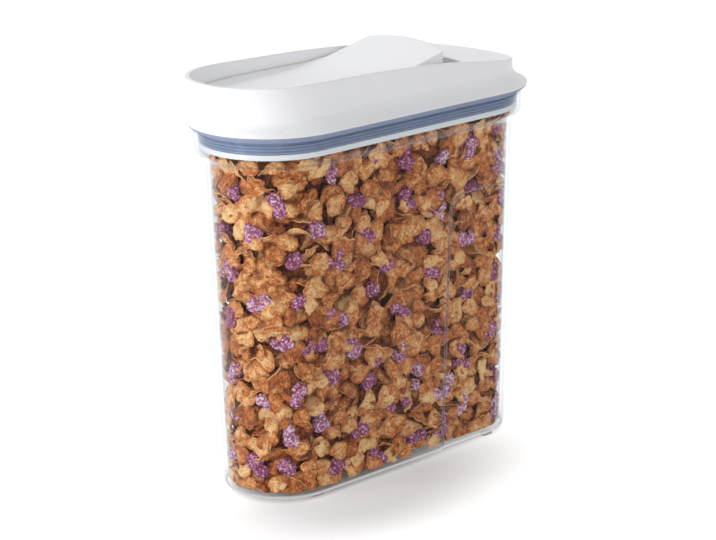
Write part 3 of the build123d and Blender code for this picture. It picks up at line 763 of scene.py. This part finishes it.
    def middle(self) -> MeshHeap:
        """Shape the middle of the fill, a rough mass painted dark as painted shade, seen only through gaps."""
        heap = MeshHeap()
        around, rows = 96, 24
        points = []
        for row in range(rows + 1):
            z = self.low_z + 1.0 + (self.fill_z - 10 - self.low_z) * row / rows
            for step in range(around):
                depth = self.middle_inset + self.rng.uniform(-1.2, 1.2)
                place, _ = self.wall_point(step / around, z, depth)
                points.append(place)
        faces = [[r * around + k, r * around + (k + 1) % around, (r + 1) * around + (k + 1) % around, (r + 1) * around + k] for r in range(rows) for k in range(around)]
        faces.append(list(reversed(range(around))))
        faces.append([rows * around + k for k in range(around)])
        cloud = np.array(points)
        # painted shade: the middle's tone is set dark
        heap.add(cloud * MM, faces, self.rng.uniform(-0.4, -0.1, len(cloud)))
        return heap

    def build(self, bran: bpy.types.Material, fruit: bpy.types.Material, body: str, slot: str) -> list[bpy.types.Object]:
        """Make every cereal piece and let it ride on the container.

        Args:
            bran: Finish of the flakes.
            fruit: Finish of the berry clusters.
            body: Body that the pieces ride on.
            slot: Material slot in the record; not used.

        Returns:
            The pieces made.
        """
        places = self.berry_places()
        front, second, crown, back, clusters = MeshHeap(), MeshHeap(), MeshHeap(), MeshHeap(), MeshHeap()
        laid = self.wall_layer(front, 1.0, 1.35 * self.spacing, 0.95, True, places, Lie.FLAT)
        laid += self.wall_layer(second, 3.9, 0.92 * self.spacing, 1.0, True, places)
        laid += self.top_layer(crown)
        # the thin flakes behind are painted darker, as painted shade
        behind = self.wall_layer(back, 7.5, self.spacing * 0.95, 1.2, False, [])
        for share, z in places:
            bloom = self.rng.uniform(0, 1)
            for _ in range(self.rng.integers(2, 5)):
                size = self.rng.uniform(6.0, 9.5)
                points, faces = self.berry(size)
                place, inwards = self.wall_point((share + self.rng.normal(0, 0.006)) % 1.0, z + self.rng.normal(0, 2.6), size / 2)
                moved = self.settled(self.turned(points, inwards, self.rng.uniform(0, 90)) + place, inwards)
                clusters.add(moved * MM, faces, np.full(len(moved), bloom))
        pieces = [
            front.build("cereal_flakes", bran),
            second.build("cereal_flakes_second_row", bran),
            crown.build("cereal_flakes_on_top", bran),
            back.build("cereal_flakes_behind", bran),
            clusters.build("cereal_berry_clusters", fruit),
            self.middle().build("cereal_middle_painted_shade", bran),
        ]
        for piece in pieces:
            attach(piece, body)
        LOG.info("cereal: %d flakes in front, %d behind, %d clusters", laid, behind, len(places))
        return pieces


@dataclass
class ClearBin:
    """The clear container body with its feet, mouth and grip recesses."""

    node: str = "container_body"
    finish: MouldedClearSan = field(default_factory=MouldedClearSan)

    def dress(self, nodes: dict[str, bpy.types.Object]) -> None:
        """Give the body its finish.

        Args:
            nodes: CAD objects by node name.
        """
        put_finish(nodes[self.node], self.finish.build())


@dataclass
class PourLid:
    """The white lid with its base, ribbed gasket and hinge pin."""

    shells: tuple[str, ...] = ("lid_shell", "lid_base")
    gasket: str = "body_gasket"
    pin: str = "hinge_pin"
    white: MouldedWhiteAbs = field(default_factory=MouldedWhiteAbs)
    steel: GroundStainlessSteel = field(default_factory=GroundStainlessSteel)

    def dress(self, nodes: dict[str, bpy.types.Object], silicone: bpy.types.Material) -> None:
        """Give the lid's pieces their finishes.

        Args:
            nodes: CAD objects by node name.
            silicone: Finish of the gasket.
        """
        white = self.white.build()
        for name in self.shells:
            put_finish(nodes[name], white)
        put_finish(nodes[self.gasket], silicone)
        put_finish(nodes[self.pin], self.steel.build())


@dataclass
class SpoutFlap:
    """The hinged flap with its thumb hump, plug and plug gasket."""

    shells: tuple[str, ...] = ("flap_cover", "flap_liner")
    gasket: str = "flap_gasket"
    white: MouldedWhiteAbs = field(default_factory=lambda: MouldedWhiteAbs(name="moulded_white_abs_flap", roughness=0.38))

    def dress(self, nodes: dict[str, bpy.types.Object], silicone: bpy.types.Material) -> None:
        """Give the flap's pieces their finishes.

        Args:
            nodes: CAD objects by node name.
            silicone: Finish of the gasket.
        """
        white = self.white.build()
        for name in self.shells:
            put_finish(nodes[name], white)
        put_finish(nodes[self.gasket], silicone)


@dataclass
class PaleStudio:
    """Pale floor with a painted glow that washes out the object's shadow away from its base, soft lamps, plain world
    and the camera.
    """

    floor_half: float = 4.0
    world_strength: float = 0.52
    painted_glow_near: float = 0.08
    painted_glow_far: float = 0.62
    painted_glow_pool_shift: tuple[float, float, float] = (0.34, 0.53, 0.0)
    painted_glow_pool_scale: tuple[float, float, float] = (7.6, 13.3, 1.0)
    lens_mm: float = 113.13
    eye: tuple[float, float, float] = (-0.7991, -0.8987, 0.4812)
    target: tuple[float, float, float] = (-0.00524, 0.0, 0.10963)
    roll_deg: float = -0.99

    def floor(self) -> bpy.types.Object:
        """Make the floor: white to the camera from a painted glow that rises away from the object and washes out the
        real shadow there, so the shadow stays only in a pool near the base.
        """
        mesh = bpy.data.meshes.new("floor")
        half = self.floor_half
        mesh.from_pydata([(-half, -half, 0), (half, -half, 0), (half, half, 0), (-half, half, 0)], [], [(0, 1, 2, 3)])
        material, tree, output = blank_material("white_sweep")
        matt = add_node(tree, "ShaderNodeBsdfDiffuse", {"Color": linear("#F0F0F0")})
        place = add_node(tree, "ShaderNodeTexCoord")
        shrunk = add_node(tree, "ShaderNodeMapping", {"Vector": place.outputs["Object"], "Location": self.painted_glow_pool_shift, "Scale": self.painted_glow_pool_scale})
        away = add_node(tree, "ShaderNodeVectorMath", {0: shrunk.outputs[0]}, operation="LENGTH")
        # painted light: the glow is low in a pool near the base and strong further off, washing out the real shadow
        lift = add_node(
            tree,
            "ShaderNodeMapRange",
            {"Value": away.outputs["Value"], "From Min": 0.3, "From Max": 1.15, "To Min": self.painted_glow_near, "To Max": self.painted_glow_far},
            interpolation_type="SMOOTHSTEP",
        )
        glow = add_node(tree, "ShaderNodeEmission", {"Color": linear("#FFFFFF"), "Strength": lift.outputs[0]})
        both = add_node(tree, "ShaderNodeAddShader", {0: matt.outputs[0], 1: glow.outputs[0]})
        path = add_node(tree, "ShaderNodeLightPath")
        seen = add_node(tree, "ShaderNodeMath", {0: path.outputs["Is Camera Ray"], 1: path.outputs["Is Glossy Ray"]}, operation="MAXIMUM")
        seen = add_node(tree, "ShaderNodeMath", {0: seen.outputs[0], 1: path.outputs["Is Transmission Ray"]}, operation="MAXIMUM")
        pick = add_node(tree, "ShaderNodeMixShader", {0: seen.outputs[0], 1: matt.outputs[0], 2: both.outputs[0]})
        tree.links.new(pick.outputs[0], output.inputs["Surface"])
        mesh.materials.append(material)
        plane = bpy.data.objects.new("floor", mesh)
        bpy.context.scene.collection.objects.link(plane)
        return plane

    def lamp(self, name: str, place: tuple[float, float, float], size: tuple[float, float], power: float) -> None:
        """Hang one soft lamp aimed at the middle of the object.

        Args:
            name: Name of the lamp.
            place: Its place in metres.
            size: Its width and height in metres.
            power: Power in watts.
        """
        data = bpy.data.lights.new(name, "AREA")
        data.shape = "RECTANGLE"
        data.size, data.size_y = size
        data.energy = power
        lamp = bpy.data.objects.new(name, data)
        lamp.location = place
        lamp.rotation_euler = (Vector((0, 0, 0.12)) - Vector(place)).to_track_quat("-Z", "Y").to_euler()
        bpy.context.scene.collection.objects.link(lamp)

    def world(self) -> None:
        """Light from all round, and white where the camera sees past the floor."""
        world = bpy.data.worlds.new("pale_room")
        world.use_nodes = True
        tree = world.node_tree
        tree.nodes.clear()
        output = add_node(tree, "ShaderNodeOutputWorld")
        path = add_node(tree, "ShaderNodeLightPath")
        seen = add_node(tree, "ShaderNodeMath", {0: path.outputs["Is Camera Ray"], 1: path.outputs["Is Glossy Ray"]}, operation="MAXIMUM")
        seen = add_node(tree, "ShaderNodeMath", {0: seen.outputs[0], 1: path.outputs["Is Transmission Ray"]}, operation="MAXIMUM")
        light = add_node(tree, "ShaderNodeBackground", {"Color": linear("#FBFCFF"), "Strength": self.world_strength})
        white = add_node(tree, "ShaderNodeBackground", {"Color": linear("#FFFFFF"), "Strength": 1.0})
        pick = add_node(tree, "ShaderNodeMixShader", {0: seen.outputs[0], 1: light.outputs[0], 2: white.outputs[0]})
        tree.links.new(pick.outputs[0], output.inputs["Surface"])
        bpy.context.scene.world = world

    def camera(self) -> None:
        """Place the camera at the photograph's viewpoint."""
        data = bpy.data.cameras.new("camera")
        data.lens = self.lens_mm
        data.sensor_width = 36.0
        data.clip_end = 50.0
        camera = bpy.data.objects.new("camera", data)
        camera.location = self.eye
        aim = (Vector(self.target) - Vector(self.eye)).to_track_quat("-Z", "Y").to_matrix().to_4x4()
        turn = aim @ Matrix.Rotation(math.radians(self.roll_deg), 4, "Z")
        camera.rotation_euler = turn.to_euler()
        bpy.context.scene.collection.objects.link(camera)
        bpy.context.scene.camera = camera

    def build(self) -> None:
        """Make the floor, lamps, world and camera."""
        self.floor()
        self.lamp("key_left", (-1.4, 0.35, 0.8), (0.7, 0.7), 7.6)
        self.lamp("strip_left", (-0.62, -0.02, 0.18), (0.12, 0.34), 0.8)
        self.lamp("top_back", (-0.1, 0.75, 1.3), (0.7, 0.7), 4.2)
        self.lamp("fill_front", (-0.3, -1.8, 0.6), (1.4, 0.9), 6.0)
        self.world()
        self.camera()
        bpy.context.scene.view_settings.view_transform = "Standard"


def put_finish(thing: bpy.types.Object, material: bpy.types.Material) -> None:
    """Give every material slot of a CAD object one finish.

    Args:
        thing: The CAD object.
        material: Its new finish.
    """
    for slot in thing.material_slots:
        slot.material = material
    LOG.info("%s: %s", thing.name, material.name)


def main() -> None:
    """Build the look in order."""
    logging.basicConfig(level=logging.INFO, format="%(name)s: %(message)s")
    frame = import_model()
    nodes = frame["nodes"]
    PaleStudio().build()
    ClearBin().dress(nodes)
    silicone = MouldedSilicone().build()
    PourLid().dress(nodes, silicone)
    SpoutFlap().dress(nodes, silicone)
    CerealFill().build(ToastedBran().build(), FreezeDriedBerry().build(), "container", "clear_plastic")


if __name__ == "__main__":
    main()
